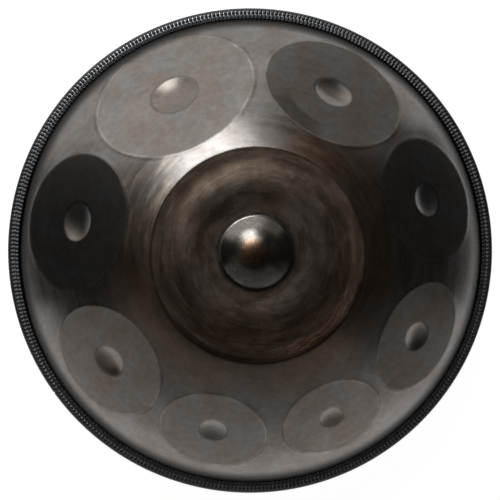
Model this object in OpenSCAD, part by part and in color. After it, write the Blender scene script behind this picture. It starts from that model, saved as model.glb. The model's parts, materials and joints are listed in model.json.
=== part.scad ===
// Handpan: two pressed steel shells, glued rim to rim, with a ribbed edge trim.
// +Z is up. The origin is at the centre of the flat ring that it rests on.

/* [Shells] */
// Overall diameter over the rim trim
overall_d = 560; // [540:1:580]
// Width of the flat flange that sticks out past each dome
flange_w = 7.5; // [7:0.1:8.5]
// Thickness of the steel sheet
sheet_t = 1.2; // [1:0.1:1.4]
// Radius of the shoulder arc that joins the crown to the flange
shoulder_r = 280; // [272:1:288]
// Slope of the dome where it meets the flange
edge_slope = 54; // [53:0.5:55]
// Slope of the dome where the crown runs into the shoulder
crown_slope = 18; // [17:0.5:19]
// Thickness of the glue line between the two flanges
glue_t = 0.8; // [0.5:0.1:1.2]

/* [Note fields] */
// How much steeper the dome is at the middle of every note than the slopes listed below
note_slope_shift = 0; // [-0.5:0.1:0.5]
// Radius of the ball that a note field's face is part of
note_face_r = 1400; // [1200:50:2000]
// Length of a note's dimple as a share of the length of its field
dimple_share = 0.28; // [0.24:0.01:0.3]
// Depth of a dimple as a share of its own length
dimple_depth_share = 0.1; // [0.06:0.01:0.12]

/* [Central note] */
// Diameter of the central note field
ding_field_d = 235; // [220:1:240]
// How far the central field's middle lies off the axis
ding_offset = 4.4; // [0:0.2:5]
// Radius of the ball that the central field's face is part of
ding_face_r = 5000; // [4000:500:8000]
// Diameter of the raised boss at its base
boss_d = 77; // [72:1:82]
// Height of the boss
boss_h = 14.5; // [13:0.5:18]

/* [Sound port] */
// Clear diameter of the port's neck
port_d = 102; // [98:1:108]
// Length of the straight part of the neck
neck_l = 25; // [20:1:30]
// Outside radius of the port's rolled lip
lip_r = 7; // [6:0.5:8]
// How much of the bottom crown is pressed flat, measured up from its lowest point
land_depth = 4.8; // [4.6:0.1:5.4]

/* [Rim trim] */
// Width of the trim across the flange
trim_w = 12.5; // [12:0.1:12.8]
// Height of the trim
trim_h = 10; // [10:0.2:11]
// Gap between the flange's edge and the bottom of the trim's channel
channel_gap = 0.3; // [0.2:0.1:0.4]
// Thickness of the steel core inside the trim
core_t = 0.5; // [0.4:0.1:0.5]
// Direction of the joint where the trim's two ends meet
joint_angle = 215.6; // [0:0.1:359]
// Gap between the trim's two ends, filled with glue
joint_gap = 1; // [0.8:0.1:1.4]

/* [Hidden] */
$fn = 180;

// Length of each note field, the direction it lies in and the dome's slope at its middle, from
// the lowest note to the highest. The notes climb from side to side, as on most handpans.
NOTE_LENGTH = [183, 160, 151, 139, 135, 129, 119, 112];
NOTE_ANGLE = [117, 63.5, 170.5, 16.5, 217, 332.5, 257, 295];
NOTE_SLOPE = [34.5, 35, 35, 35.5, 35.5, 36.5, 36, 36];
// Direction in which the central field's middle lies off the axis
DING_ANGLE = 295;

overall_r = overall_d / 2;
trim_wall = 2.2;
channel_h = 4.4;
channel_end_r = overall_r - trim_wall;
flange_r = channel_end_r - channel_gap;
wall_r = flange_r - flange_w;

// Centre of the shoulder arc, measured from the flange's outer face and the axis.
shoulder_x = wall_r - shoulder_r * sin(edge_slope);
shoulder_z = -shoulder_r * cos(edge_slope);
// The crown is a ball that meets the shoulder at the same slope.
crown_r = shoulder_r + shoulder_x / sin(crown_slope);
dome_h = shoulder_z + (shoulder_r - crown_r) * cos(crown_slope) + crown_r;

// Heights: bottom land, flange stack and top shell.
bottom_h = dome_h - land_depth;
glue_z = bottom_h + glue_t / 2;
top_base = bottom_h + glue_t;
stack_h = glue_t + 2 * sheet_t;
// A bevel stiffens the corner where the flange leaves the dome.
bevel_h = 2.2;
bevel_w = 0.8;
// Where the trim's lips end, slanted to lie along the foot of the dome
lip_x = overall_r - trim_w;
lip_slant = 3;

// The central field is cut by a flatter ball than the crown.
ding_sink = ball_sag(crown_r, ding_field_d / 2) - ball_sag(ding_face_r, ding_field_d / 2);
ding_top = dome_h - ding_sink;
// The flatter ball stands this far back from the axis for its field to lie off it.
ding_ball_shift = ding_offset * ((dome_h - crown_r) - (ding_top - ding_face_r)) / crown_r;
// The boss is a cap of this ball.
boss_r = ((boss_d / 2) * (boss_d / 2) + boss_h * boss_h) / (2 * boss_h);

// Height of a ball's cap at a given radius from its pole.
function ball_sag(ball, at) = ball - sqrt(ball * ball - at * at);
// Radius of the dome's shoulder at a given height above the flange's lower face.
function dome_r(at) = shoulder_x + sqrt(shoulder_r * shoulder_r - (at - shoulder_z) * (at - shoulder_z));
// Slope of the dome at the middle of note i.
function note_slope(i) = NOTE_SLOPE[i] + note_slope_shift;
// Distance of note i's middle from the axis, and its height above the flange.
function note_r(i) = shoulder_x + shoulder_r * sin(note_slope(i));
function note_z(i) = shoulder_z + shoulder_r * cos(note_slope(i));
// Depth of note i's face below the dome, so that it comes out at the right length.
function note_sink(i) =
    ball_sag(note_r(i) / sin(note_slope(i)), NOTE_LENGTH[i] / 2) - ball_sag(note_face_r, NOTE_LENGTH[i] / 2);
// Dimple i: half its length, its depth, and the ball it is pressed with.
function dimple_half(i) = NOTE_LENGTH[i] * dimple_share / 2;
function dimple_depth(i) = 2 * dimple_half(i) * dimple_depth_share;
function dimple_ball(i) =
    (dimple_half(i) * dimple_half(i) + dimple_depth(i) * dimple_depth(i)) / (2 * dimple_depth(i));

// Half of a dome's section, standing on the flange plane. A positive inset moves the outline inwards.
module dome_section(inset) {
    crown_z = dome_h - crown_r;
    join_r = (crown_r - inset) * sin(crown_slope);
    union() {
        intersection() {
            translate([0, crown_z]) circle(r = crown_r - inset);
            square([join_r, dome_h]);
        }
        intersection() {
            translate([shoulder_x, shoulder_z]) circle(r = shoulder_r - inset);
            translate([join_r, 0]) square([wall_r, dome_h]);
        }
    }
}

// A solid dome with the flattened faces of the notes cut into it.
module tuned_dome(inset) {
    intersection() {
        rotate_extrude() dome_section(inset);
        rotate([0, 0, DING_ANGLE])
            translate([-ding_ball_shift, 0, ding_top - ding_face_r])
                sphere(r = ding_face_r - inset);
        for (i = [0 : len(NOTE_LENGTH) - 1])
            at_note(i) translate([0, 0, -note_sink(i) - note_face_r]) sphere(r = note_face_r - inset);
    }
}

// Places things at the middle of note i, with +Z square to the dome.
module at_note(i) {
    rotate([0, 0, NOTE_ANGLE[i]])
        translate([note_r(i), 0, note_z(i)])
            rotate([0, note_slope(i), 0])
                children();
}

// The balls that press the dimples. A positive inset gives the sheet's inner side.
module dimples(inset) {
    for (i = [0 : len(NOTE_LENGTH) - 1])
        at_note(i)
            translate([0, 0, -note_sink(i) - dimple_depth(i) + dimple_ball(i)])
                sphere(r = dimple_ball(i) + inset);
}

// The ball that the boss is part of.
module boss_ball(inset) {
    translate([0, 0, ding_top + boss_h - boss_r]) sphere(r = boss_r - inset);
}

// Section of the flange with the bevel at its root, filled in to the axis.
module flange_section() {
    bevel_top = sheet_t + bevel_h;
    polygon([
        [0, 0],
        [flange_r, 0],
        [flange_r, sheet_t],
        [wall_r + bevel_w, sheet_t],
        [dome_r(bevel_top) - 0.1, bevel_top],
        [0, bevel_top]
    ]);
}

module top_shell() {
    color("#4a4543")
        translate([0, 0, top_base])
            difference() {
                union() {
                    difference() {
                        tuned_dome(0);
                        dimples(0);
                    }
                    boss_ball(0);
                    rotate_extrude() flange_section();
                }
                difference() {
                    union() {
                        tuned_dome(sheet_t);
                        boss_ball(sheet_t);
                    }
                    dimples(sheet_t);
                }
            }
}

// Section of the bottom shell: the same dome upside down, cut flat where it stands.
module bottom_section(inset) {
    intersection() {
        translate([0, bottom_h]) mirror([0, 1]) dome_section(inset);
        translate([0, inset]) square([overall_r, bottom_h]);
    }
}

// Section of the space through the port, with the rounded mouth that the rolled lip leaves.
module port_opening() {
    port_r = port_d / 2;
    mouth_r = port_r + lip_r;
    square([port_r, bottom_h]);
    difference() {
        square([mouth_r, lip_r]);
        translate([mouth_r, lip_r]) circle(r = lip_r);
    }
}

// Section of what the port fills inside the shell: the neck and its rolled lip.
module port_block() {
    port_r = port_d / 2;
    mouth_r = port_r + lip_r;
    square([port_r + sheet_t, lip_r + neck_l]);
    difference() {
        square([mouth_r, lip_r]);
        translate([mouth_r, lip_r]) circle(r = lip_r - sheet_t);
    }
}

module bottom_shell() {
    color("#46413f")
        difference() {
            union() {
                rotate_extrude() bottom_section(0);
                translate([0, 0, bottom_h]) mirror([0, 0, 1]) rotate_extrude() flange_section();
            }
            rotate_extrude()
                difference() {
                    bottom_section(sheet_t);
                    port_block();
                }
            rotate_extrude() port_opening();
        }
}

module flange_adhesive() {
    color("#2b2a28")
        translate([0, 0, bottom_h])
            difference() {
                cylinder(r = flange_r, h = glue_t);
                translate([0, 0, -glue_t]) cylinder(r = wall_r, h = 3 * glue_t);
            }
}

// Outline of the trim, round outside and slanted at its lips, grown by a given amount.
module trim_outline(grow) {
    round_r = trim_h / 2;
    centre_x = overall_r - round_r;
    end_x = lip_x - grow;
    half_h = round_r + grow;
    // The slanted mouth, carried on a little past the lips.
    past = 1;
    mouth_h = channel_h / 2 + (half_h - channel_h / 2) * (lip_slant + past) / lip_slant;
    difference() {
        union() {
            translate([centre_x, 0]) circle(r = half_h);
            translate([end_x, -half_h]) square([centre_x - end_x, 2 * half_h]);
        }
        polygon([
            [end_x - past, -mouth_h],
            [end_x + lip_slant, -channel_h / 2],
            [end_x + lip_slant, channel_h / 2],
            [end_x - past, mouth_h]
        ]);
    }
}

// The channel that grips the flange, with two barbs on each side.
module channel_section() {
    barb_w = 1.6;
    barb_pitch = 2.6;
    difference() {
        translate([lip_x - 1, -channel_h / 2]) square([channel_end_r - lip_x + 1, channel_h]);
        for (side = [-1, 1], k = [0 : 1]) {
            x = lip_x + lip_slant + 1 + k * barb_pitch;
            polygon([
                [x, side * stack_h / 2],
                [x + barb_w, side * channel_h / 2],
                [x + barb_w, side * (channel_h / 2 + 0.1)],
                [x - barb_w / 2, side * (channel_h / 2 + 0.1)],
                [x - barb_w / 2, side * channel_h / 2]
            ]);
        }
    }
}

// Section of the thin steel channel inside the trim.
module core_section() {
    depth = 0.75;
    cover = 4.4;
    difference() {
        trim_outline(-depth);
        trim_outline(-depth - core_t);
        translate([lip_x - 1, -trim_h / 2]) square([cover + 1, trim_h]);
    }
}

module trim_section() {
    difference() {
        trim_outline(0);
        channel_section();
        core_section();
    }
}

// Turns a section round the rim, leaving the gap where the trim's ends meet.
module around_rim() {
    gap_angle = joint_gap / overall_r * 180 / PI;
    translate([0, 0, glue_z])
        rotate([0, 0, joint_angle + gap_angle / 2])
            rotate_extrude(angle = 360 - gap_angle)
                children();
}

module rim_trim() {
    color("#262626") around_rim() trim_section();
}

module trim_core() {
    color("#8a8d8f") around_rim() core_section();
}

module trim_joint_glue() {
    gap_angle = joint_gap / overall_r * 180 / PI;
    notch = 1.2;
    color("#1c1c1c")
        translate([0, 0, glue_z])
            rotate([0, 0, joint_angle - gap_angle / 2])
                rotate_extrude(angle = gap_angle)
                    difference() {
                        trim_outline(-notch);
                        channel_section();
                    }
}

top_shell();
bottom_shell();
flange_adhesive();
rim_trim();
trim_core();
trim_joint_glue();
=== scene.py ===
import json
import math
from collections import namedtuple

import bpy
import numpy as np
from mathutils import Matrix, Vector, noise


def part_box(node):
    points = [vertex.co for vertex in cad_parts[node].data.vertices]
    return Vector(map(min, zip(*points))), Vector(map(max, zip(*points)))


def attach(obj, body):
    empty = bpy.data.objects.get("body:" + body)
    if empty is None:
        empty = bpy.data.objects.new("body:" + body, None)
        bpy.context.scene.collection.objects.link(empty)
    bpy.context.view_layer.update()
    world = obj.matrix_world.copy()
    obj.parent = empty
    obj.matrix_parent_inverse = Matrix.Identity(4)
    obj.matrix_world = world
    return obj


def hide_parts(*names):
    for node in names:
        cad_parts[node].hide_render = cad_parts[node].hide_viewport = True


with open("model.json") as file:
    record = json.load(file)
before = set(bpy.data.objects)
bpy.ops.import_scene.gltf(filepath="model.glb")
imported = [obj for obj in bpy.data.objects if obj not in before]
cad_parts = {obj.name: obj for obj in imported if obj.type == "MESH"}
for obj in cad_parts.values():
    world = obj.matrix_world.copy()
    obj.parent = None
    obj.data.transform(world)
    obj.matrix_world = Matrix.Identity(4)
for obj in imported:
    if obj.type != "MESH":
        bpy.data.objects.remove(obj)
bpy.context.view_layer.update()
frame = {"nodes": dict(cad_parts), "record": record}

# Everything is in metres, in the part's own frame: +Z up, and the middle of the resting ring at
# the origin.
MM = 0.001
TURN = 2 * math.pi

# ---------------------------------------------------------------- sizes taken from the frame

trim_low, trim_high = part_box("rim_trim")
top_low, top_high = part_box("top_shell")
bottom_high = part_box("bottom_shell")[1]
port = next(m for m in frame["record"]["mounts"] if m["name"] == "sound_port")

RIM_R = trim_high.x
RIM_Z = (trim_low.z + trim_high.z) / 2
TRIM_H = trim_high.z - trim_low.z
FLANGE_R = top_high.x
PORT_R = port["dims"]["r_mm"] * MM
SHEET = 1.2 * MM
FLANGE_W = 7.5 * MM
WALL_R = FLANGE_R - FLANGE_W

# The dome's section: a crown ball, a shoulder arc, then a small root arc down to the flat flange.
SHOULDER_R = 280 * MM
EDGE_SLOPE = math.radians(54)
CROWN_SLOPE = math.radians(18)
ROOT_R = 2 * MM
SHOULDER_X = WALL_R - SHOULDER_R * math.sin(EDGE_SLOPE)
SHOULDER_Z = -SHOULDER_R * math.cos(EDGE_SLOPE)
CROWN_R = SHOULDER_R + SHOULDER_X / math.sin(CROWN_SLOPE)
CROWN_Z = SHOULDER_Z + (SHOULDER_R - CROWN_R) * math.cos(CROWN_SLOPE)
DOME_H = CROWN_Z + CROWN_R
CROWN_END = CROWN_R * math.sin(CROWN_SLOPE)

# The central note: a nearly flat disc, a little off the axis, and the boss that rises from it.
# A FACE_R is the radius of a nearly flat face's ball, and a SOFT is how rounded an edge is.
DING_R = 117.5 * MM
DING_ANGLE = math.radians(295)
DING_OFFSET = 4.4 * MM
DING_X = DING_OFFSET * math.cos(DING_ANGLE)
DING_Y = DING_OFFSET * math.sin(DING_ANGLE)
DING_FACE_R = 5
DING_SOFT = 0.2 * MM
BOSS_H = 14.5 * MM
BOSS_BASE_R = 38.5 * MM
BOSS_SOFT = 1.15 * MM
BOSS_END = 1.6 * BOSS_BASE_R
BOSS_R = (BOSS_BASE_R ** 2 + BOSS_H ** 2) / (2 * BOSS_H)
DING_TOP = top_high.z - top_low.z - BOSS_H
# The disc's ball stands back from the axis by this much, so that the disc's edge comes out round
# DING_X, DING_Y.
DING_SHIFT = DING_OFFSET * (CROWN_Z - (DING_TOP - DING_FACE_R)) / CROWN_R
# A low swell that runs round the disc.
SWELL_R = 75 * MM
SWELL_HALF = 30 * MM
SWELL_H = 1.6 * MM

# Each note: direction and dome slope in degrees, then the field's length and width and the
# dimple's length and width in millimetres, from the lowest note to the highest.
NOTES = [
    (117, 34.5, 183, 154, 55.5, 48),
    (63.5, 35, 160, 136, 45.5, 37.5),
    (170.5, 35, 151, 133, 45, 40),
    (16.5, 35.5, 139, 124, 39, 35.5),
    (217, 35.5, 135, 119, 38.5, 33),
    (332.5, 36.5, 129, 103.5, 34, 32),
    (257, 36, 119, 103, 32.5, 29),
    (295, 36, 112, 98.5, 28, 27),
]
NOTE_FACE_R = 1.4
NOTE_SOFT = 0.04
# A low ridge round each note: its height, how far out its top is and how wide it is.
RIDGE_H = 0.25 * MM
RIDGE_OUT = 1.5 * MM
RIDGE_W = 2.2 * MM
# A dimple's depth is a share of its length, and it sits a little uphill of the note's middle.
DIMPLE_DEPTH = 0.1
DIMPLE_SOFT = 0.06
DIMPLE_UPHILL = 1.2 * MM
# A note stops shaping the dome where the square of how far out a point is reaches this, where 1
# is the note's edge, and fades over the last part of it.
NOTE_END = 1.6
NOTE_FADE = 0.4
# How far out a point counts as being when it is near no note.
FAR_OUT = 2.0

# Half of how far in hammering goes at most, and the radii over which it fades out.
HAMMERED = 0.14 * MM
HAMMERED_FULL_R = WALL_R - 22 * MM
HAMMERED_END_R = WALL_R - 6 * MM

# Points in a ring.
FINE = 768
MIDDLE = 384
COARSE = 192


# ---------------------------------------------------------------- helpers for shapes

def soft_positive(x, soft):
    """x where it is positive and nothing where it isn't, rounded over at the change."""
    return 0.5 * (x + np.sqrt(x * x + soft * soft))


def smooth_step(x, start, end):
    t = np.clip((x - start) / (end - start), 0, 1)
    return t * t * (3 - 2 * t)


def circle(r, count):
    angles = np.arange(count) * (TURN / count)
    return r * np.cos(angles), r * np.sin(angles)


def ripple(points, size, seed):
    """Smooth noise from -1 to 1 at each point, with features about that size."""
    shift = Vector((seed, 2 * seed, 3 * seed))
    return np.array([noise.noise(Vector(p) / size + shift) for p in points])


def hammering(points, r, seed, fine_seed):
    """How far in hammering pushed each point of a ring: a wave in two sizes."""
    wave = 0.7 * ripple(points, 42 * MM, seed) + 0.3 * ripple(points, 16 * MM, fine_seed)
    return HAMMERED * (1 + wave) * (1 - smooth_step(r, HAMMERED_FULL_R, HAMMERED_END_R))


class Skin:
    """Collects rings of points and the faces between them, with values kept at each point."""

    def __init__(self):
        self.points = []
        self.faces = []
        self.values = {}

    def ring(self, points, **values):
        start = len(self.points)
        self.points.extend(map(tuple, points))
        for name, value in values.items():
            self.values.setdefault(name, []).extend(value)
        return start, len(points)

    def join(self, inner, outer):
        """Faces from one ring to the next. Either may have a whole number of times more points."""
        (a, na), (b, nb) = inner, outer
        if na > nb:
            self._fan(outer, inner, flip=True)
        elif nb > na:
            self._fan(inner, outer, flip=False)
        else:
            for i in range(na):
                j = (i + 1) % na
                self.faces.append((a + i, b + i, b + j, a + j))

    def _fan(self, coarse, fine, flip):
        (a, na), (b, nb) = coarse, fine
        share = nb // na
        for i in range(na):
            near, far = a + i, a + (i + 1) % na
            fans = [b + (i * share + k) % nb for k in range(share + 1)]
            middle = share // 2
            for k in range(share):
                if k < middle:
                    face = (near, fans[k], fans[k + 1])
                elif k == middle:
                    face = (near, fans[k], fans[k + 1], far)
                else:
                    face = (far, fans[k], fans[k + 1])
                self.faces.append(face[::-1] if flip else face)

    def cap(self, ring, centre, flip, **values):
        """Closes a ring with a fan to one point."""
        start, count = ring
        middle = self.ring([centre], **values)[0]
        for i in range(count):
            face = (middle, start + i, start + (i + 1) % count)
            self.faces.append(face[::-1] if flip else face)

    def build(self, name):
        mesh = bpy.data.meshes.new(name)
        mesh.from_pydata(self.points, [], self.faces)
        mesh.validate()
        mesh.update()
        mesh.polygons.foreach_set("use_smooth", [True] * len(mesh.polygons))
        for value_name, value in self.values.items():
            kept = mesh.attributes.new(value_name, "FLOAT", "POINT")
            kept.data.foreach_set("value", np.array(value, dtype=np.float32))
        piece = bpy.data.objects.new(name, mesh)
        bpy.context.scene.collection.objects.link(piece)
        return piece


# ---------------------------------------------------------------- the dome's section

def ball_height(radius, top, r):
    return top - radius + np.sqrt(radius * radius - r * r)


def root_arc():
    """Distance from the axis of the root arc's middle, and the slope where the arc starts."""
    rise = SHEET + ROOT_R - SHOULDER_Z
    reach = SHOULDER_R + ROOT_R
    middle_x = SHOULDER_X + math.sqrt(reach ** 2 - rise ** 2)
    return middle_x, math.acos(rise / reach)


ROOT_X, ROOT_SLOPE = root_arc()
ROOT_START = SHOULDER_X + SHOULDER_R * math.sin(ROOT_SLOPE)


def plain_dome(r):
    """Height of the dome above the flange's lower face, out to the start of the root arc."""
    crown = ball_height(CROWN_R, DOME_H, np.minimum(r, CROWN_END))
    reach = np.maximum(r - SHOULDER_X, 0)
    shoulder = SHOULDER_Z + np.sqrt(np.maximum(SHOULDER_R ** 2 - reach ** 2, 0))
    return np.where(r < CROWN_END, crown, shoulder)


def plain_slope(r):
    if r < CROWN_END:
        return math.asin(r / CROWN_R)
    return math.asin((r - SHOULDER_X) / SHOULDER_R)


def top_dome(x, y):
    """The plain dome with the central note's disc and boss in it."""
    r = np.hypot(x, y)
    dome = plain_dome(r)
    from_disc_x = x + DING_SHIFT * math.cos(DING_ANGLE)
    from_disc_y = y + DING_SHIFT * math.sin(DING_ANGLE)
    disc = ball_height(DING_FACE_R, DING_TOP, np.hypot(from_disc_x, from_disc_y))
    across = np.clip((r - SWELL_R) / SWELL_HALF, -1, 1)
    disc = disc + 0.5 * SWELL_H * (1 + np.cos(math.pi * across))
    height = dome - soft_positive(dome - disc, DING_SOFT)
    boss = ball_height(BOSS_R, DING_TOP + BOSS_H, np.minimum(r, BOSS_R * 0.999))
    return height + soft_positive(boss - height, BOSS_SOFT) * (r < BOSS_END)


def dome_stations(start, end, step):
    """Radii between two radii, evenly spaced along the plain dome's surface."""
    fine = np.linspace(start, end, 2000)
    steps = np.hypot(np.diff(fine), np.diff(plain_dome(fine)))
    length = np.concatenate([[0], np.cumsum(steps)])
    count = max(2, int(round(length[-1] / step)))
    return list(np.interp(np.linspace(0, length[-1], count + 1), length, fine))


def root_stations(count):
    """(r, z) down the root arc and out over the flange to its rounded edge."""
    slopes = np.linspace(ROOT_SLOPE, 0, count)
    arc = [(ROOT_X - ROOT_R * math.sin(s), SHEET + ROOT_R - ROOT_R * math.cos(s)) for s in slopes]
    edge = 0.3 * MM
    return arc + [(FLANGE_R - edge, SHEET), (FLANGE_R, SHEET - edge)]


# ---------------------------------------------------------------- top shell

def note_frames():
    """Middle, downhill and sideways directions of every note, with its half sizes and depth."""
    frames = []
    for angle, slope, length, width, dimple_length, dimple_width in NOTES:
        a = math.radians(angle)
        s = math.radians(slope)
        r = SHOULDER_X + SHOULDER_R * math.sin(s)
        half = length * MM / 2
        middle = (r * math.cos(a), r * math.sin(a), SHOULDER_Z + SHOULDER_R * math.cos(s))
        down = (math.cos(s) * math.cos(a), math.cos(s) * math.sin(a), -math.sin(s))
        frames.append({
            "middle": np.array(middle),
            "down": np.array(down),
            "side": np.array([-math.sin(a), math.cos(a), 0]),
            "half": (half, width * MM / 2),
            "dimple": (dimple_length * MM / 2, dimple_width * MM / 2),
            "sink": (math.sin(s) / r - 1 / NOTE_FACE_R) * half ** 2 / 2,
        })
    return frames


NOTE_FRAMES = note_frames()


def tuned(points):
    """How far the notes and dimples sink each point of the plain dome, and what the steel's
    colours need: how far out it is in a note and in a dimple, where 1 is the edge."""
    sink = np.zeros(len(points))
    reach = np.full(len(points), FAR_OUT)
    dimple = np.full(len(points), FAR_OUT)
    for note in NOTE_FRAMES:
        offset = points - note["middle"]
        x = offset @ note["side"]
        y = offset @ note["down"]
        field = (x / note["half"][0]) ** 2 + (y / note["half"][1]) ** 2
        near = field < NOTE_END
        fade = smooth_step(NOTE_END - field, 0, NOTE_FADE)
        dip = (x / note["dimple"][0]) ** 2 + ((y + DIMPLE_UPHILL) / note["dimple"][1]) ** 2
        depth = DIMPLE_DEPTH * 2 * note["dimple"][0]
        outside = (np.sqrt(field) - 1) * note["half"][0]
        sink += fade * note["sink"] * soft_positive(1 - field, NOTE_SOFT)
        sink += fade * depth * soft_positive(1 - dip, DIMPLE_SOFT)
        sink -= near * RIDGE_H * np.exp(-((outside - RIDGE_OUT) / RIDGE_W) ** 2)
        reach = np.where(near, np.minimum(reach, np.sqrt(field)), reach)
        dimple = np.minimum(dimple, np.sqrt(dip))
    return sink, reach, dimple


def dome_ring(skin, r, count, inset=0.0):
    """One ring of the top shell: the dome's points pushed in by the notes, the sheet's
    thickness and the slight unevenness that hammering leaves."""
    x, y = circle(r, count)
    points = np.stack([x, y, top_dome(x, y)], axis=1)
    slope = plain_slope(r)
    tilt = math.sin(slope) / r
    normals = np.stack([x * tilt, y * tilt, np.full(count, math.cos(slope))], axis=1)
    sink, reach, dimple = tuned(points)
    points -= normals * (sink + hammering(points, r, 3.7, 9.1) + inset)[:, None]
    points[:, 2] += top_low.z
    return skin.ring(points, reach=reach, dimple=dimple)


def plain_ring(skin, r, z, count):
    x, y = circle(r, count)
    far = [FAR_OUT] * count
    return skin.ring(np.stack([x, y, np.full(count, z)], axis=1), reach=far, dimple=far)


def build_top_shell():
    """Rings from the tip out over the boss, the disc and the notes to the flange, and back inside.
    They are closest where the boss meets the disc and where the disc meets the dome."""
    skin = Skin()
    boss = np.concatenate([np.linspace(2, 33, 16), np.linspace(34, 46, 21)]) * MM
    disc = np.concatenate([np.linspace(48, 106, 26), np.linspace(107.1, 124.7, 17)]) * MM
    wall = dome_stations(126 * MM, ROOT_START - 0.6 * MM, 2.3 * MM)
    inside = dome_stations(4 * MM, WALL_R - 3 * MM, 6 * MM)[::-1]
    rings = [dome_ring(skin, r, COARSE) for r in boss]
    rings += [dome_ring(skin, r, MIDDLE) for r in disc]
    rings += [dome_ring(skin, r, FINE) for r in wall]
    rings += [plain_ring(skin, r, top_low.z + z, FINE) for r, z in root_stations(5)]
    rings += [plain_ring(skin, r, top_low.z, COARSE) for r in (FLANGE_R, WALL_R - SHEET)]
    rings += [dome_ring(skin, r, COARSE, inset=SHEET) for r in inside]
    for first, second in zip(rings, rings[1:]):
        skin.join(first, second)
    tip = top_high.z - HAMMERED
    skin.cap(rings[0], (0, 0, tip), False, reach=[FAR_OUT], dimple=[FAR_OUT])
    skin.cap(rings[-1], (0, 0, tip - SHEET), True, reach=[FAR_OUT], dimple=[FAR_OUT])
    return skin.build("top_shell_sheet")


# ---------------------------------------------------------------- bottom shell

LIP_R = 7 * MM
NECK_H = 25 * MM
NECK_TOP = LIP_R + NECK_H
# How much of the crown's height the flat resting ring cuts off.
LAND = 4.8 * MM
LAND_END = math.sqrt(CROWN_R ** 2 - (CROWN_R - LAND) ** 2)
BOTTOM_H = bottom_high.z


def bottom_outline():
    """(r, height above the ground) round the bottom shell's section: first its outside, from
    the neck's top round the lip and out to the flange, then its inside, back to the neck."""
    lip_x = PORT_R + LIP_R
    outer = [(PORT_R, z) for z in np.linspace(NECK_TOP, LIP_R, 8)]
    for turn in np.linspace(0, math.pi / 2, 8)[1:]:
        outer.append((lip_x - LIP_R * math.cos(turn), LIP_R - LIP_R * math.sin(turn)))
    outer.append((LAND_END, 0))
    for r in dome_stations(LAND_END + 3 * MM, ROOT_START, 3 * MM):
        outer.append((r, BOTTOM_H - float(plain_dome(r))))
    outer += [(r, BOTTOM_H - z) for r, z in root_stations(5)[1:]]
    inner = [(FLANGE_R, BOTTOM_H), (WALL_R - SHEET, BOTTOM_H)]
    for r in dome_stations(lip_x + 4 * MM, WALL_R - 3 * MM, 7 * MM)[::-1]:
        slope = plain_slope(r)
        height = BOTTOM_H - float(plain_dome(r)) + SHEET * math.cos(slope)
        inner.append((r - SHEET * math.sin(slope), max(height, SHEET)))
    bend = LIP_R - SHEET
    for turn in np.linspace(math.pi / 2, 0, 6):
        inner.append((lip_x - bend * math.cos(turn), LIP_R - bend * math.sin(turn)))
    inner.append((PORT_R + SHEET, NECK_TOP))
    return outer, inner


def build_bottom_shell():
    """The section turned round the axis, with its outside hammered."""
    skin = Skin()
    outer, inner = bottom_outline()
    rings = []
    for r, z in outer:
        x, y = circle(r, MIDDLE)
        points = np.stack([x, y, np.full(MIDDLE, z)], axis=1)
        clear_of_port = smooth_step(r, 70 * MM, 90 * MM)
        points[:, 2] += clear_of_port * hammering(points, r, 5.3, 1.9)
        rings.append(skin.ring(points))
    for r, z in inner:
        x, y = circle(r, COARSE)
        rings.append(skin.ring(np.stack([x, y, np.full(COARSE, z)], axis=1)))
    for first, second in zip(rings, rings[1:] + rings[:1]):
        skin.join(second, first)
    return skin.build("bottom_shell_sheet")


# ---------------------------------------------------------------- rim trim

TRIM_W = 12.5 * MM
TRIM_INNER_R = RIM_R - TRIM_W
TRIM_CORNER = 0.7 * MM
CHANNEL_END_R = RIM_R - 2.2 * MM
CHANNEL_HALF = 2.2 * MM
LIP_SLANT = 3 * MM
# The butt joint's direction and width.
SEAM = math.radians(215.6)
SEAM_GAP = 1 * MM
RIBS = 382
POINTS_PER_RIB = 6
RIB_DEPTH = 0.95 * MM
RIB_SHARPNESS = 2.2
# Each rib has two humps across the trim, with a dip between them.
RIB_DIP_R = RIM_R - 7.6 * MM
RIB_DIP = 0.45 * MM
RIB_DIP_W = 0.9 * MM


def rib_share(r):
    """How much of the ribs' depth shows at a radius: little at the trim's inner edge, none at
    its outer one."""
    rise = smooth_step(r, TRIM_INNER_R - 0.3 * MM, TRIM_INNER_R + 0.9 * MM)
    fall = 1 - smooth_step(r, RIM_R - 3.4 * MM, RIM_R - 1.2 * MM)
    return rise * fall


def trim_outline():
    """(r, height from the rim's mid-plane, direction it faces) along the trim's outside, from
    the top lip round to the bottom one."""
    half = TRIM_H / 2
    round_x = RIM_R - half
    corner_x = TRIM_INNER_R + TRIM_CORNER
    corner_z = half - TRIM_CORNER
    points = [(TRIM_INNER_R + LIP_SLANT, CHANNEL_HALF, math.radians(225))]
    points.append((TRIM_INNER_R + 0.35 * MM, half - 1.1 * TRIM_CORNER, math.radians(200)))
    for turn in np.linspace(math.pi, math.pi / 2, 4):
        x = corner_x + TRIM_CORNER * math.cos(turn)
        points.append((x, corner_z + TRIM_CORNER * math.sin(turn), turn))
    for x in np.linspace(TRIM_INNER_R + 2 * TRIM_CORNER, round_x, 9):
        points.append((x, half, math.pi / 2))
    for turn in np.linspace(math.pi / 2, 0, 7)[1:]:
        points.append((round_x + half * math.cos(turn), half * math.sin(turn), turn))
    mirrored = [(r, -z, -facing) for r, z, facing in points[:-1][::-1]]
    return points + mirrored


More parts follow.
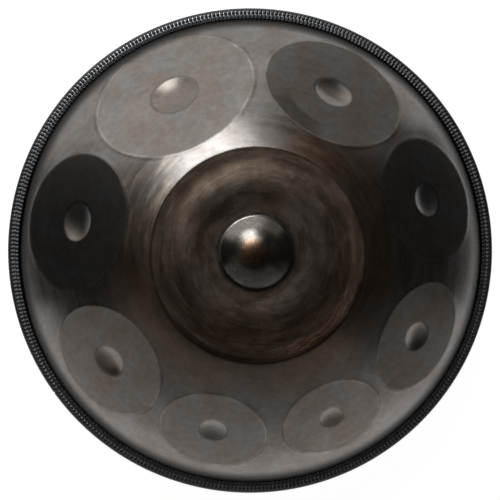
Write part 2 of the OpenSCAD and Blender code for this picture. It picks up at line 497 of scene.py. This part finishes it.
def build_rim_trim():
    """Every point of the outline swept once round from the seam, sunk between the ribs."""
    skin = Skin()
    count = RIBS * POINTS_PER_RIB
    gap = SEAM_GAP / RIM_R
    angles = np.linspace(SEAM + gap / 2, SEAM + TURN - gap / 2, count + 1)
    place = (np.arange(count + 1) / POINTS_PER_RIB) % 1
    groove = np.abs(2 * place - 1) ** RIB_SHARPNESS
    outline = [(r, z, facing, rib_share(r)) for r, z, facing in trim_outline()]
    channel = [(CHANNEL_END_R, -CHANNEL_HALF, 0, 0), (CHANNEL_END_R, CHANNEL_HALF, 0, 0)]
    starts = []
    for r, z, facing, share in outline + channel:
        dip = RIB_DIP * share * math.exp(-((r - RIB_DIP_R) / RIB_DIP_W) ** 2)
        down = RIB_DEPTH * share * groove + dip
        reach = r - down * math.cos(facing)
        height = RIM_Z + z - down * math.sin(facing)
        points = np.stack([reach * np.cos(angles), reach * np.sin(angles), height], axis=1)
        starts.append(skin.ring(points)[0])
    for a, b in zip(starts, starts[1:] + starts[:1]):
        for i in range(count):
            skin.faces.append((a + i, b + i, b + i + 1, a + i + 1))
    skin.faces.append(tuple(starts[::-1]))
    skin.faces.append(tuple(start + count for start in starts))
    piece = skin.build("rim_trim_ribbed")
    for polygon in piece.data.polygons[-2:]:
        polygon.use_smooth = False
    return piece


# ---------------------------------------------------------------- materials

Point = namedtuple("Point", "vector x y z flat")


class Nodes:
    """A short way to write a node tree."""

    def __init__(self, tree):
        self.tree = tree

    def node(self, kind, **settings):
        made = self.tree.nodes.new(kind)
        for name, value in settings.items():
            setattr(made, name, value)
        return made

    def put(self, socket, value):
        if isinstance(value, bpy.types.NodeSocket):
            self.tree.links.new(value, socket)
        else:
            socket.default_value = value

    def math(self, operation, *values):
        made = self.node("ShaderNodeMath", operation=operation)
        for socket, value in zip(made.inputs, values):
            self.put(socket, value)
        return made.outputs[0]

    def product(self, first, *others):
        """Values multiplied together."""
        for other in others:
            first = self.math("MULTIPLY", first, other)
        return first

    def length(self, x, y):
        """The length of a flat vector."""
        return self.math("SQRT", self.math("MULTIPLY_ADD", x, x, self.math("MULTIPLY", y, y)))

    def range(self, value, low, high, to_low=0.0, to_high=1.0):
        """A value carried smoothly from one range to another, and held beyond its ends."""
        made = self.node("ShaderNodeMapRange", interpolation_type="SMOOTHSTEP")
        for socket, given in zip(made.inputs, (value, low, high, to_low, to_high)):
            self.put(socket, given)
        return made.outputs[0]

    def band(self, value, start, full, full_end, end):
        """1 between two values, falling to 0 at the start and the end."""
        return self.product(self.range(value, start, full), self.range(value, end, full_end))

    def line(self, value, middle, half):
        """1 at a value, falling to 0 at half the line's width from it."""
        return self.range(self.math("ABSOLUTE", self.math("SUBTRACT", value, middle)), half, 0.0)

    def ramp(self, value, stops):
        """A value read off a line through (place, value) stops."""
        made = self.node("ShaderNodeValToRGB")
        elements = made.color_ramp.elements
        while len(elements) < len(stops):
            elements.new(1.0)
        for element, (place, given) in zip(elements, stops):
            element.position = place
            element.color = (given, given, given, 1)
        self.put(made.inputs[0], value)
        return made.outputs[0]

    def mix(self, share, first, second, blend="MIX"):
        made = self.node("ShaderNodeMix", data_type="RGBA", blend_type=blend)
        self.put(made.inputs[0], share)
        self.put(made.inputs[6], first)
        self.put(made.inputs[7], second)
        return made.outputs[2]

    def combine(self, x, y, z):
        made = self.node("ShaderNodeCombineXYZ")
        for socket, value in zip(made.inputs, (x, y, z)):
            self.put(socket, value)
        return made.outputs[0]

    def shade(self, colour, value):
        """A colour made lighter or darker by a value."""
        return self.mix(1.0, colour, self.combine(value, value, value), "MULTIPLY")

    def noise(self, vector, scale, detail, roughness):
        made = self.node("ShaderNodeTexNoise")
        self.put(made.inputs["Vector"], vector)
        self.put(made.inputs["Scale"], scale)
        self.put(made.inputs["Detail"], detail)
        self.put(made.inputs["Roughness"], roughness)
        return made.outputs["Fac"]

    def streaks(self, point, along, across, detail, roughness):
        """Noise in streaks that run round the axis: slow along them and quick across."""
        unit = self.math("MAXIMUM", point.flat, MM)
        place = self.combine(
            self.product(self.math("DIVIDE", point.x, unit), along),
            self.product(self.math("DIVIDE", point.y, unit), along),
            self.product(point.flat, across))
        return self.noise(place, 1.0, detail, roughness)

    def attribute(self, name):
        return self.node("ShaderNodeAttribute", attribute_name=name).outputs["Fac"]

    def bump(self, height, distance, strength, under=None):
        made = self.node("ShaderNodeBump")
        made.inputs["Distance"].default_value = distance
        made.inputs["Strength"].default_value = strength
        self.put(made.inputs["Height"], height)
        if under is not None:
            self.put(made.inputs["Normal"], under)
        return made.outputs[0]

    def point(self, coordinates):
        """A point and its parts: the vector, x, y, z and the distance from the axis."""
        vector = self.node("ShaderNodeTexCoord").outputs[coordinates]
        split = self.node("ShaderNodeSeparateXYZ")
        self.put(split.inputs[0], vector)
        x, y, z = split.outputs
        return Point(vector, x, y, z, self.length(x, y))

    def sector(self, point, centre, half, soft):
        """1 within a sector of directions round the axis and 0 outside it, in degrees."""
        c = math.radians(centre)
        along = self.math("MULTIPLY_ADD", point.y, math.sin(c), self.product(point.x, math.cos(c)))
        along = self.math("DIVIDE", along, point.flat)
        outside = math.cos(math.radians(half + soft))
        inside = math.cos(math.radians(half - soft))
        return self.range(along, outside, inside)


class Shader(Nodes):
    """A new material with its principled shader."""

    def __init__(self, name):
        self.material = bpy.data.materials.new(name)
        self.material.use_nodes = True
        super().__init__(self.material.node_tree)
        self.bsdf = next(n for n in self.tree.nodes if n.type == "BSDF_PRINCIPLED")

    def surface(self, colour, roughness, metallic=0.0, normal=None):
        self.put(self.bsdf.inputs["Base Color"], colour)
        self.put(self.bsdf.inputs["Roughness"], roughness)
        self.bsdf.inputs["Metallic"].default_value = metallic
        if normal is not None:
            self.put(self.bsdf.inputs["Normal"], normal)
        return self.material


# Colours of the steel, linear.
DOME_BROWN = (0.172, 0.153, 0.141, 1)
DOME_GREY = (0.163, 0.152, 0.144, 1)
DOME_HEAT = (0.205, 0.15, 0.11, 1)
DOME_SMEAR = (0.29, 0.17, 0.1, 1)
DOME_STROKES = (0.36, 0.3, 0.24, 1)
NOTE_BROWN = (0.183, 0.155, 0.134, 1)
NOTE_GREY = (0.155, 0.151, 0.147, 1)
NOTE_HEAT = (0.185, 0.15, 0.124, 1)
NOTE_BORDER = (0.176, 0.158, 0.144, 1)
# Painted shade colour for a corner of the second note.
NOTE_PAINTED_SHADE = (0.06, 0.054, 0.047, 1)
CENTRE_BROWN = (0.165, 0.113, 0.082, 1)
CENTRE_LIGHT_BROWN = (0.222, 0.158, 0.118, 1)
CENTRE_GREY = (0.147, 0.117, 0.096, 1)
CENTRE_LIGHT_GREY = (0.183, 0.149, 0.125, 1)
CENTRE_DARK = (0.075, 0.058, 0.048, 1)
# Painted highlight on the central note's lip, on its right side.
CENTRE_PAINTED_HIGHLIGHT = (0.34, 0.23, 0.165, 1)
# Painted shade at the top of the central note's edge.
CENTRE_PAINTED_SHADE = (0.085, 0.058, 0.04, 1)
# The boss's colour, and its painted shade towards the front.
BOSS_UNSHADED = (0.17, 0.153, 0.136, 1)
BOSS_PAINTED_SHADE = (0.108, 0.1, 0.09, 1)
BOSS_HEAT = (0.235, 0.14, 0.09, 1)
# Light edge line: wear and a painted highlight; dark edge line: painted shade in the crease.
WORN_EDGE_AND_GLINT = (0.34, 0.31, 0.28, 1)
EDGE_PAINTED_SHADE = (0.05, 0.045, 0.04, 1)
COPPER = (0.62, 0.36, 0.24, 1)
SCRATCH = (0.46, 0.37, 0.3, 1)
# Painted shade in creases, at dimple edges and at the foot.
PAINTED_SHADE_COLOUR = (0.019, 0.017, 0.015, 1)
BOTTOM_BROWN = (0.19, 0.15, 0.12, 1)
BOTTOM_TARNISH = (0.12, 0.118, 0.115, 1)
BOTTOM_FOOT_DARK = (0.014, 0.012, 0.01, 1)
MIDDLE_GREY = (0.5, 0.5, 0.5, 1)


class TopSteel(Shader):
    """Heat-darkened steel: grey on the notes, browner in the centre, brushed round the axis.
    Sectors are in degrees from +X."""

    def __init__(self):
        super().__init__("top_steel")
        at = self.point("Object")
        self.at = at
        self.cloud = self.noise(at.vector, 12.0, 2.0, 0.5)
        self.patch = self.noise(at.vector, 32.0, 2.0, 0.5)
        self.mottle = self.noise(at.vector, 140.0, 3.0, 0.6)
        self.arcs = self.streaks(at, 2.2, 120.0, 5.0, 0.62)
        self.fine = self.streaks(at, 8.0, 700.0, 4.0, 0.7)
        self.rays = self.streaks(at, 75.0, 16.0, 4.0, 0.65)
        self.reach = self.attribute("reach")
        self.dimple = self.attribute("dimple")
        disc_x = self.math("SUBTRACT", at.x, DING_X)
        disc_y = self.math("SUBTRACT", at.y, DING_Y)
        self.disc_r = self.length(disc_x, disc_y)
        # Where each part of the shell is: 1 on it and 0 off it.
        self.note = self.range(self.reach, 1.035, 0.985)
        self.disc = self.range(self.disc_r, DING_R + 1.0 * MM, DING_R - 1.0 * MM)
        self.boss = self.range(at.flat, BOSS_BASE_R + 7 * MM, BOSS_BASE_R + 3 * MM)

    def on_dome(self):
        """Between the notes: plain grey outside, heat-browned towards the centre but painted grey
        in the sector where the key light's highlight falls, so the highlight comes out neutral,
        with a brown smear at the upper right and light brush strokes at the upper left."""
        dome = self.mix(self.range(self.patch, 0.35, 0.65), DOME_BROWN, DOME_GREY)
        # Painted highlight colour: no heat colour in the sector where the key light's highlight
        # falls, so that the highlight reads neutral grey.
        highlight_sector = self.sector(self.at, 110, 36, 18)
        warm = self.product(
            self.range(self.at.flat, 178 * MM, 132 * MM),
            self.math("MULTIPLY_ADD", highlight_sector, -0.85, 1.0),
            self.range(self.cloud, 0.25, 0.5))
        dome = self.mix(warm, dome, DOME_HEAT)
        smear = self.product(
            self.sector(self.at, 55, 10, 12),
            self.range(self.at.flat, 160 * MM, 130 * MM),
            self.range(self.arcs, 0.3, 0.7, 0.25, 0.75))
        dome = self.mix(smear, dome, DOME_SMEAR)
        strokes = self.product(
            self.sector(self.at, 152, 20, 14),
            self.range(self.at.flat, 185 * MM, 150 * MM),
            self.range(self.arcs, 0.5, 0.66), 0.6)
        return self.mix(strokes, dome, DOME_STROKES)

    def on_notes(self):
        """Brown and grey patches, a border, and painted shade darkening a corner of the second
        note.
        """
        field = self.mix(self.range(self.patch, 0.36, 0.64), NOTE_BROWN, NOTE_GREY)
        field = self.mix(self.range(self.cloud, 0.5, 0.66, 0.0, 0.5), field, NOTE_HEAT)
        border = self.product(self.note, self.range(self.reach, 0.66, 0.96), 0.5)
        field = self.mix(border, field, NOTE_BORDER)
        # Painted shade: a dark patch by the second note's inner edge, standing in for the dark sky
        # it reflects.
        painted_shade_corner = self.product(
            self.sector(self.at, 74, 9, 6),
            self.range(self.at.flat, 186 * MM, 168 * MM),
            self.range(self.reach, 0.7, 0.78), 0.55)
        return self.mix(painted_shade_corner, field, NOTE_PAINTED_SHADE)

    def on_disc(self):
        """The central note: brown round its edge and grey towards the boss, dark on its left, with
        painted shade at the top and a painted highlight on a lip on its right."""
        swirl = self.math("MULTIPLY_ADD", self.rays, 0.25, self.product(self.arcs, 0.5))
        swirl = self.range(self.math("MULTIPLY_ADD", self.patch, 0.35, swirl), 0.46, 0.64)
        brown = self.mix(swirl, CENTRE_BROWN, CENTRE_LIGHT_BROWN)
        grey = self.mix(swirl, CENTRE_GREY, CENTRE_LIGHT_GREY)
        inner = self.product(
            self.range(self.at.flat, 96 * MM, 70 * MM),
            self.range(self.cloud, 0.3, 0.6))
        centre = self.mix(inner, brown, grey)
        left = self.product(
            self.sector(self.at, 200, 26, 24),
            self.range(self.disc_r, 70 * MM, 90 * MM), 0.6)
        centre = self.mix(left, centre, CENTRE_DARK)
        # Painted highlight: a lighter band on the right of the disc's edge, where a rounded lip
        # would catch light.
        lip_painted_highlight = self.product(
            self.band(self.disc_r, 99 * MM, 106 * MM, 111 * MM, 116 * MM),
            self.sector(self.at, 350, 52, 24), 0.55)
        centre = self.mix(lip_painted_highlight, centre, CENTRE_PAINTED_HIGHLIGHT)
        # Painted shade: a dark band inside the top of the disc's edge, where it reflects the dark
        # sky.
        top_painted_shade = self.product(
            self.range(self.disc_r, 96 * MM, 108 * MM),
            self.sector(self.at, 122, 34, 16), 0.6)
        return self.mix(top_painted_shade, centre, CENTRE_PAINTED_SHADE)

    def on_boss(self):
        """Cooler, with painted shade darkening it towards the front, and a brown patch of heat
        colour off its middle.
        """
        heat_x = self.math("ADD", self.at.x, 4 * MM)
        heat_y = self.math("SUBTRACT", self.at.y, 0.5 * MM)
        heat = self.range(self.length(heat_x, heat_y), 19 * MM, 8 * MM)
        # Painted shade: the boss darkens towards the front, -Y.
        steel = self.mix(self.range(self.at.y, -2 * MM, -16 * MM), BOSS_UNSHADED, BOSS_PAINTED_SHADE)
        return self.mix(heat, steel, BOSS_HEAT)

    def edged(self, colour):
        """Broken lines round each note: a light one at its edge, partly wear and partly a painted
        highlight on the note's ridge, and a dark one outside, painted shade in the crease.
        """
        # Partly wear, partly a painted highlight where the ridge at a note's edge catches the key
        # light.
        worn_and_glint = self.product(
            self.line(self.reach, 1.005, 0.022),
            self.range(self.patch, 0.42, 0.62, 0.05, 0.5))
        colour = self.mix(worn_and_glint, colour, WORN_EDGE_AND_GLINT)
        # Painted shade: a dark line in the crease just outside each note.
        dark = self.product(
            self.line(self.reach, 1.045, 0.03),
            self.range(self.patch, 0.56, 0.38, 0.05, 0.45))
        return self.mix(dark, colour, EDGE_PAINTED_SHADE)

    def grained(self, colour):
        """Fine brushing, strongest on the central note, and blotches of two sizes."""
        depth = self.math("MULTIPLY_ADD", self.disc, 0.24, 0.12)
        streak = self.math("SUBTRACT", self.range(self.fine, 0.3, 0.7), 0.5)
        colour = self.shade(colour, self.math("MULTIPLY_ADD", streak, depth, 1.0))
        colour = self.shade(colour, self.range(self.patch, 0.3, 0.7, 0.9, 1.1))
        return self.shade(colour, self.range(self.mottle, 0.25, 0.75, 0.9, 1.1))

    def scratched(self, colour):
        """A worn copper-coloured arc just inside the central note's edge, and thin scratches."""
        arc = self.product(
            self.band(self.disc_r, 98 * MM, 105 * MM, 111 * MM, 116 * MM),
            self.sector(self.at, 312, 24, 14),
            self.range(self.fine, 0.45, 0.62))
        colour = self.mix(arc, colour, COPPER)
        lines = self.range(self.streaks(self.at, 2.6, 560.0, 2.0, 0.5), 0.63, 0.72)
        scratch = self.product(lines, self.math("MAXIMUM", self.disc, 0.25), 0.28)
        return self.mix(scratch, colour, SCRATCH)

    def paint_shade(self, colour):
        """Painted shade: darkening in the crease round the central note and just inside its lower
        left edge, at the dimples' edges, and at the foot where the wall meets the trim.
        """
        crease = self.product(
            self.band(self.disc_r, DING_R - 3 * MM, DING_R, DING_R, DING_R + 1.6 * MM), 0.55)
        ditch = self.product(
            self.range(self.disc_r, DING_R - 8 * MM, DING_R - 4 * MM),
            self.sector(self.at, 250, 30, 16), self.disc, 0.6)
        rim = self.product(
            self.line(self.dimple, 1.02, 0.11),
            self.range(self.patch, 0.3, 0.6, 0.5, 1.0), 0.36)
        # Painted shade at the foot, where the wall meets the trim.
        foot = self.range(self.at.flat, WALL_R - 18 * MM, WALL_R - 8.5 * MM, 0.0, 0.89)
        painted_shade = crease
        for more in (ditch, rim, foot):
            painted_shade = self.math("MAXIMUM", painted_shade, more)
        return self.mix(painted_shade, colour, PAINTED_SHADE_COLOUR)

    def roughness(self):
        """Brushed between the notes and even on them, duller on the disc and in the dimples."""
        uneven = self.mix(self.note, self.arcs, MIDDLE_GREY)
        rough = self.range(uneven, 0.3, 0.7, 0.25, 0.31)
        rough = self.math("MULTIPLY_ADD", self.disc, 0.05, rough)
        rough = self.math("MULTIPLY_ADD", self.boss, -0.08, rough)
        return self.math("ADD", rough, self.range(self.dimple, 1.05, 0.9, 0.0, 0.04))

    def relief(self):
        """The brushing's fine grooves over low unevenness."""
        brushed = self.product(
            self.range(self.cloud, 0.45, 0.62, 0.0, 0.5),
            self.math("SUBTRACT", 1.0, self.note))
        grooves = self.math("MULTIPLY_ADD", self.rays, brushed, self.fine)
        return self.bump(self.patch, 0.1 * MM, 0.35, self.bump(grooves, 0.02 * MM, 0.35))


def top_steel():
    s = TopSteel()
    colour = s.mix(s.note, s.on_dome(), s.on_notes())
    colour = s.edged(colour)
    colour = s.mix(s.disc, colour, s.mix(s.boss, s.on_disc(), s.on_boss()))
    colour = s.grained(colour)
    colour = s.scratched(colour)
    colour = s.paint_shade(colour)
    return s.surface(colour, s.roughness(), 1.0, s.relief())


def bottom_steel():
    """The same steel, left plainer: heat colours in wide soft clouds, brushed round the axis."""
    s = Shader("bottom_steel")
    at = s.point("Object")
    cloud = s.noise(at.vector, 9.0, 2.0, 0.5)
    patch = s.noise(at.vector, 38.0, 3.0, 0.5)
    arcs = s.streaks(at, 5.0, 130.0, 6.0, 0.66)
    hair = s.streaks(at, 16.0, 700.0, 4.0, 0.7)
    colour = s.mix(s.range(cloud, 0.3, 0.65), BOTTOM_BROWN, DOME_GREY)
    colour = s.shade(colour, s.range(patch, 0.3, 0.7, 0.94, 1.06))
    colour = s.shade(colour, s.range(hair, 0.3, 0.7, 0.93, 1.07))
    # Grey tarnish on the port's lip and neck, where a hand goes, and darker towards the foot, where
    # the wall meets the trim.
    colour = s.mix(s.range(at.flat, 64 * MM, 56 * MM, 0.0, 0.7), colour, BOTTOM_TARNISH)
    foot = s.range(at.flat, WALL_R - 14.5 * MM, WALL_R - 7 * MM, 0.0, 0.9)
    colour = s.mix(foot, colour, BOTTOM_FOOT_DARK)
    rough = s.range(arcs, 0.3, 0.7, 0.26, 0.33)
    return s.surface(colour, rough, 1.0, s.bump(hair, 0.02 * MM, 0.35))


def trim_rubber():
    """Soft black PVC with a grained skin and a little dust."""
    s = Shader("trim_rubber")
    at = s.point("Object")
    grain = s.noise(at.vector, 900.0, 3.0, 0.6)
    dust = s.range(s.noise(at.vector, 60.0, 4.0, 0.6), 0.4, 0.7)
    colour = s.mix(dust, (0.009, 0.009, 0.01, 1), (0.023, 0.023, 0.024, 1))
    rough = s.range(grain, 0.3, 0.7, 0.26, 0.42)
    return s.surface(colour, rough, 0.0, s.bump(grain, 0.1 * MM, 0.5))


def core_steel():
    """Bright rolled steel."""
    s = Shader("core_steel")
    rolled = s.streaks(s.point("Object"), 40.0, 2000.0, 2.0, 0.5)
    colour = s.mix(rolled, (0.42, 0.42, 0.43, 1), (0.6, 0.6, 0.61, 1))
    return s.surface(colour, s.range(rolled, 0.3, 0.7, 0.25, 0.4), 1.0)


def cured_glue(name, dark, light):
    """Blotchy, half-dull glue."""
    s = Shader(name)
    blot = s.noise(s.point("Object").vector, 150.0, 4.0, 0.6)
    colour = s.mix(s.range(blot, 0.35, 0.65), dark, light)
    rough = s.range(blot, 0.3, 0.7, 0.35, 0.6)
    return s.surface(colour, rough, 0.0, s.bump(blot, 0.2 * MM, 0.4))


def dress(piece, material):
    piece.data.materials.clear()
    piece.data.materials.append(material)


# ---------------------------------------------------------------- pieces

def add_piece(piece, node, material):
    dress(piece, material)
    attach(piece, "root")
    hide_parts(node)


flange_glue = cured_glue("flange_glue", (0.03, 0.03, 0.028, 1), (0.06, 0.056, 0.05, 1))
joint_glue = cured_glue("joint_glue", (0.01, 0.01, 0.01, 1), (0.025, 0.025, 0.025, 1))

add_piece(build_top_shell(), "top_shell", top_steel())
add_piece(build_bottom_shell(), "bottom_shell", bottom_steel())
add_piece(build_rim_trim(), "rim_trim", trim_rubber())
dress(frame["nodes"]["trim_core"], core_steel())
dress(frame["nodes"]["flange_adhesive"], flange_glue)
dress(frame["nodes"]["trim_joint_glue"], joint_glue)


# ---------------------------------------------------------------- floor, light and camera

WHITE = (1, 1, 1, 1)
BLACK = (0, 0, 0, 1)
FLOOR_HALF = 6.0
# The floor lies a hair below the drum, so that they don't share a plane.
FLOOR_Z = -0.2 * MM
FLOOR_COLOUR = (0.25, 0.25, 0.25, 1)
FLOOR_GLOW = 0.97
# The floor's glow in the painted shadow under the drum.
FLOOR_GLOW_IN_PAINTED_SHADOW = 0.2
CARD_X = 0.72
CARD_TOP = 1.6
CARD_COLOUR = (0.005, 0.005, 0.005, 1)
SCREEN_R = 0.82
# How bright the two curved screens are at heights in metres. The last is their top.
FRONT_SCREEN = [
    (0.0, 1.4), (0.1, 1.1), (0.17, 0.78), (0.27, 0.58), (0.4, 0.39),
    (0.53, 0.28), (0.7, 0.24), (1.02, 0.23), (1.14, 0),
]
SIDE_SCREEN = [
    (0.0, 1.2), (0.1, 0.6), (0.17, 0.32), (0.27, 0.24), (0.4, 0.16),
    (0.53, 0.1), (0.7, 0.06), (0.86, 0),
]
# Screens far behind, in the world: direction, half of their width and softness in degrees, then
# how bright they are at angles from straight up.
FAR_SCREENS = [
    (113, 36, 10, [(50, 0.0), (58, 1.35), (92, 1.35)]),
    (58, 20, 8, [(51, 0.0), (59, 0.34), (74, 0.32), (84, 0.22), (92, 0.3)]),
    (175, 30, 14, [(10, 0.0), (25, 0.07), (50, 0.07), (60, 0.0)]),
]
ROOM_GLOW = 0.012
WARM = (1.4, 1, 0.68, 1)
CAMERA_DISTANCE = 1.8
CAMERA_LEAN_X = math.radians(2.64)
CAMERA_LEAN_Y = math.radians(0.514)
CAMERA_TARGET = Vector((-2.0 * MM, 1.0 * MM, RIM_Z))
CAMERA_LENS = 112.2


def add_sheet(name, points, faces, colour, roughness):
    """One sheet of the studio and its shader, whose emission is white."""
    mesh = bpy.data.meshes.new(name)
    mesh.from_pydata(points, [], faces)
    sheet = bpy.data.objects.new(name, mesh)
    bpy.context.scene.collection.objects.link(sheet)
    s = Shader(name)
    s.surface(colour, roughness)
    s.bsdf.inputs["Emission Color"].default_value = WHITE
    mesh.materials.append(s.material)
    return sheet, s


def show_only_reflected(sheet):
    sheet.visible_camera = False
    sheet.visible_diffuse = False
    sheet.visible_shadow = False


def make_floor():
    """A bright floor, with a painted shadow under the drum where its glow is dimmer, and clear from
    below.
    """
    signs = ((-1, -1), (1, -1), (1, 1), (-1, 1))
    corners = [(x * FLOOR_HALF, y * FLOOR_HALF, FLOOR_Z) for x, y in signs]
    s = add_sheet("pale_floor", corners, [(0, 1, 2, 3)], FLOOR_COLOUR, 0.9)[1]
    # Painted shadow: the floor's glow falls from full to dim towards the drum's middle.
    glow = s.range(s.point("Object").flat, 60 * MM, 270 * MM, FLOOR_GLOW_IN_PAINTED_SHADOW, FLOOR_GLOW)
    s.put(s.bsdf.inputs["Emission Strength"], glow)
    output = next(n for n in s.tree.nodes if n.type == "OUTPUT_MATERIAL")
    pick = s.node("ShaderNodeMixShader")
    s.put(pick.inputs[0], s.node("ShaderNodeNewGeometry").outputs["Backfacing"])
    s.put(pick.inputs[1], s.bsdf.outputs[0])
    s.put(pick.inputs[2], s.node("ShaderNodeBsdfTransparent").outputs[0])
    s.put(output.inputs["Surface"], pick.outputs[0])


def add_black_card(name, x, low_y, high_y):
    """A black card stood beside the drum, that only its reflection shows."""
    corners = [(x, low_y, 0), (x, high_y, 0), (x, high_y, CARD_TOP), (x, low_y, CARD_TOP)]
    card = add_sheet(name, corners, [(0, 1, 2, 3)], CARD_COLOUR, 0.9)[0]
    show_only_reflected(card)


def add_screen(name, start, end, stops):
    """A curved screen round part of the drum, from one direction to another in degrees, that
    only reflections show."""
    count = 32
    top = stops[-1][0]
    angles = np.radians(np.linspace(start, end, count + 1))
    points = [(SCREEN_R * math.cos(a), SCREEN_R * math.sin(a), h) for h in (0, top) for a in angles]
    faces = [(i, i + 1, count + 2 + i, count + 1 + i) for i in range(count)]
    screen, s = add_sheet(name, points, faces, BLACK, 1.0)
    share = s.math("DIVIDE", s.point("Object").z, top)
    glow = s.ramp(share, [(height / top, value) for height, value in stops])
    s.put(s.bsdf.inputs["Emission Strength"], glow)
    show_only_reflected(screen)


def make_world():
    """The studio seen in the steel: dark and warm above and at the sides, with bright screens
    behind. The camera sees plain white."""
    world = bpy.data.worlds.new("studio")
    bpy.context.scene.world = world
    world.use_nodes = True
    world.node_tree.nodes.clear()
    s = Nodes(world.node_tree)
    at = s.point("Generated")
    from_top = s.math("DIVIDE", s.math("ARCCOSINE", at.z), math.pi)
    glow = ROOM_GLOW
    for centre, half, soft, stops in FAR_SCREENS:
        profile = s.ramp(from_top, [(angle / 180, value) for angle, value in stops])
        glow = s.math("ADD", s.product(s.sector(at, centre, half, soft), profile), glow)

    lit = s.node("ShaderNodeBackground")
    s.put(lit.inputs["Strength"], glow)
    s.put(lit.inputs["Color"], s.mix(s.range(glow, 0.02, 0.3), WARM, WHITE))
    seen = s.node("ShaderNodeBackground")
    seen.inputs["Strength"].default_value = 1.0
    seen.inputs["Color"].default_value = WHITE
    pick = s.node("ShaderNodeMixShader")
    s.put(pick.inputs[0], s.node("ShaderNodeLightPath").outputs["Is Camera Ray"])
    s.put(pick.inputs[1], lit.outputs[0])
    s.put(pick.inputs[2], seen.outputs[0])
    s.put(s.node("ShaderNodeOutputWorld").inputs["Surface"], pick.outputs[0])


def add_softbox(name, tint, azimuth, from_top, distance, width, height, radiance):
    """A rectangular soft light seen from the dome's top in that direction, in degrees."""
    a = math.radians(azimuth)
    t = math.radians(from_top)
    away = Vector((math.sin(t) * math.cos(a), math.sin(t) * math.sin(a), math.cos(t)))
    target = Vector((0, 0, top_high.z - 30 * MM))
    light = bpy.data.lights.new(name, "AREA")
    light.shape = "RECTANGLE"
    light.size = width
    light.size_y = height
    light.color = tint
    light.energy = radiance * math.pi * width * height
    lamp = bpy.data.objects.new(name, light)
    bpy.context.scene.collection.objects.link(lamp)
    lamp.location = target + distance * away
    lamp.rotation_euler = (target - lamp.location).to_track_quat("-Z", "Y").to_euler()


def make_camera():
    """Almost straight above, leaning a little towards -X and +Y, with +Y up in the picture."""
    data = bpy.data.cameras.new("camera")
    data.sensor_width = 36
    data.lens = CAMERA_LENS
    data.clip_end = 50
    camera = bpy.data.objects.new("camera", data)
    bpy.context.scene.collection.objects.link(camera)
    back = Vector((-math.sin(CAMERA_LEAN_X), math.sin(CAMERA_LEAN_Y), math.cos(CAMERA_LEAN_X)))
    back.normalize()
    right = Vector((0, 1, 0)).cross(back).normalized()
    camera.location = CAMERA_TARGET + CAMERA_DISTANCE * back
    camera.rotation_euler = Matrix((right, back.cross(right), back)).transposed().to_euler()
    bpy.context.scene.camera = camera


make_floor()
make_world()
add_black_card("left_card", -CARD_X, -0.2, 0.32)
add_black_card("right_card", CARD_X, -0.19, 0.5)
add_screen("front_screen", 207, 318, FRONT_SCREEN)
add_screen("side_screen", 318, 338, SIDE_SCREEN)
add_softbox("key_softbox", (0.93, 1, 1.05), 111, 37, 2.2, 0.95, 0.95, 8.0)
add_softbox("glow_softbox", (1, 1, 1), 112, 34, 2.3, 1.7, 1.6, 0.45)
make_camera()
bpy.context.scene.view_settings.view_transform = "Standard"
